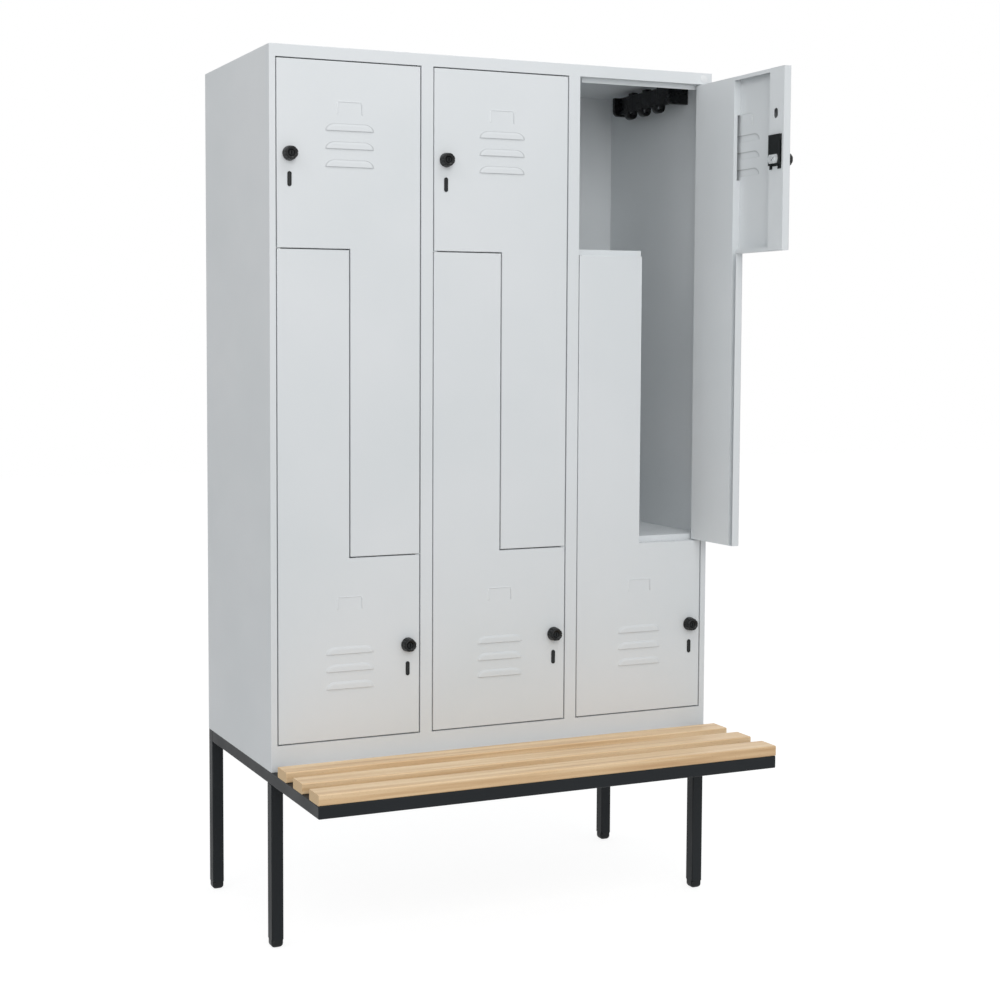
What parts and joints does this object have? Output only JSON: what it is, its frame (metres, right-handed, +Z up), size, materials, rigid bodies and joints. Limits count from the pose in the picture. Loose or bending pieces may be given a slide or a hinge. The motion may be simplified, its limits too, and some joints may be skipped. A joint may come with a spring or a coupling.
{
  "type": "changing-room locker with bench",
  "caption": "Steel locker with interlocking Z-shaped hinged doors on knob locks, standing on a black tube base that carries a slatted wooden bench in front.",
  "frame": {"origin": "on the floor, under the middle of the plan outline with the right upper door open", "axes": "+Z up, the doors and the bench face -Y, +X to the right of someone facing the doors"},
  "size_m": [1.2078, 0.8512, 2.125],
  "materials": {
    "light_grey_coat": "light grey powder coat, fine texture, satin",
    "black_coat": "black-grey powder coat, satin",
    "beech": "clear-lacquered beech",
    "black_plastic": "moulded black plastic, fine grain",
    "badge_plastic": "plain light plastic disc",
    "zinc": "bright zinc plating",
    "bright_steel": "zinc-plated steel"
  },
  "bodies": {
    "carcass": {"side_panel_left": "light_grey_coat", "side_panel_right": "light_grey_coat", "top_panel": "light_grey_coat", "top_rail": "light_grey_coat", "bottom_rail": "light_grey_coat", "middle_posts": "light_grey_coat", "partition_left": "light_grey_coat", "partition_right": "light_grey_coat", "floor_panel": "light_grey_coat", "rear_panel": "light_grey_coat", "z_divider_1": "light_grey_coat", "z_divider_2": "light_grey_coat", "z_divider_3": "light_grey_coat", "blank_badge": "badge_plastic", "hook_strips_upper": "black_plastic", "hook_strips_lower": "black_plastic", "pivot_pins": "bright_steel", "slat_screws": "bright_steel", "frame_bolts": "bright_steel", "pivot_lugs": "light_grey_coat", "base_side_rail_left": "black_coat", "base_side_rail_right": "black_coat", "base_front_rail": "black_coat", "base_cross_rail_front": "black_coat", "base_cross_rail_rear": "black_coat", "legs": "black_coat", "foot_caps": "black_plastic", "bench_slat_1": "beech", "bench_slat_2": "beech", "bench_slat_3": "beech"},
    "upper_door_1": {"upper_door_1_skin": "light_grey_coat", "upper_door_1_stiffeners": "light_grey_coat", "upper_door_1_lock_case": "black_plastic"},
    "upper_lock_1": {"upper_door_1_lock_knob": "black_plastic", "upper_door_1_lock_cam": "zinc"},
    "lower_door_1": {"lower_door_1_skin": "light_grey_coat", "lower_door_1_stiffeners": "light_grey_coat", "lower_door_1_lock_case": "black_plastic"},
    "lower_lock_1": {"lower_door_1_lock_knob": "black_plastic", "lower_door_1_lock_cam": "zinc"},
    "upper_door_2": {"upper_door_2_skin": "light_grey_coat", "upper_door_2_stiffeners": "light_grey_coat", "upper_door_2_lock_case": "black_plastic"},
    "upper_lock_2": {"upper_door_2_lock_knob": "black_plastic", "upper_door_2_lock_cam": "zinc"},
    "lower_door_2": {"lower_door_2_skin": "light_grey_coat", "lower_door_2_stiffeners": "light_grey_coat", "lower_door_2_lock_case": "black_plastic"},
    "lower_lock_2": {"lower_door_2_lock_knob": "black_plastic", "lower_door_2_lock_cam": "zinc"},
    "upper_door_3": {"upper_door_3_skin": "light_grey_coat", "upper_door_3_stiffeners": "light_grey_coat", "upper_door_3_lock_case": "black_plastic"},
    "upper_lock_3": {"upper_door_3_lock_knob": "black_plastic", "upper_door_3_lock_cam": "zinc"},
    "lower_door_3": {"lower_door_3_skin": "light_grey_coat", "lower_door_3_stiffeners": "light_grey_coat", "lower_door_3_lock_case": "black_plastic"},
    "lower_lock_3": {"lower_door_3_lock_knob": "black_plastic", "lower_door_3_lock_cam": "zinc"}
  },
  "joints": [
    {"name": "upper_door_1_swing", "type": "hinge", "parent": "carcass", "child": "upper_door_1", "pos_m": [-0.2245, -0.0685, 1.425], "axis": [0, 0, 1], "range_deg": [0, 91]},
    {"name": "upper_lock_1_turn", "type": "hinge", "parent": "upper_door_1", "child": "upper_lock_1", "pos_m": [-0.5505, -0.0685, 1.8755], "axis": [0, -1, 0], "range_deg": [0, 90]},
    {"name": "lower_door_1_swing", "type": "hinge", "parent": "carcass", "child": "lower_door_1", "pos_m": [-0.5755, -0.0685, 1.425], "axis": [0, 0, -1], "range_deg": [0, 91]},
    {"name": "lower_lock_1_turn", "type": "hinge", "parent": "lower_door_1", "child": "lower_lock_1", "pos_m": [-0.2495, -0.0685, 0.707], "axis": [0, 1, 0], "range_deg": [0, 90]},
    {"name": "upper_door_2_swing", "type": "hinge", "parent": "carcass", "child": "upper_door_2", "pos_m": [0.1755, -0.0685, 1.425], "axis": [0, 0, 1], "range_deg": [0, 91]},
    {"name": "upper_lock_2_turn", "type": "hinge", "parent": "upper_door_2", "child": "upper_lock_2", "pos_m": [-0.1505, -0.0685, 1.8755], "axis": [0, -1, 0], "range_deg": [0, 90]},
    {"name": "lower_door_2_swing", "type": "hinge", "parent": "carcass", "child": "lower_door_2", "pos_m": [-0.1755, -0.0685, 1.425], "axis": [0, 0, -1], "range_deg": [0, 91]},
    {"name": "lower_lock_2_turn", "type": "hinge", "parent": "lower_door_2", "child": "lower_lock_2", "pos_m": [0.1505, -0.0685, 0.707], "axis": [0, 1, 0], "range_deg": [0, 90]},
    {"name": "upper_door_3_swing", "type": "hinge", "parent": "carcass", "child": "upper_door_3", "pos_m": [0.5755, -0.0685, 1.425], "axis": [0, 0, 1], "range_deg": [-91, 0]},
    {"name": "upper_lock_3_turn", "type": "hinge", "parent": "upper_door_3", "child": "upper_lock_3", "pos_m": [0.58119, -0.39445, 1.8755], "axis": [0.9998, 0.0175, 0], "range_deg": [0, 90]},
    {"name": "lower_door_3_swing", "type": "hinge", "parent": "carcass", "child": "lower_door_3", "pos_m": [0.2245, -0.0685, 1.425], "axis": [0, 0, -1], "range_deg": [0, 91]},
    {"name": "lower_lock_3_turn", "type": "hinge", "parent": "lower_door_3", "child": "lower_lock_3", "pos_m": [0.5505, -0.0685, 0.707], "axis": [0, 1, 0], "range_deg": [0, 90]}
  ]
}
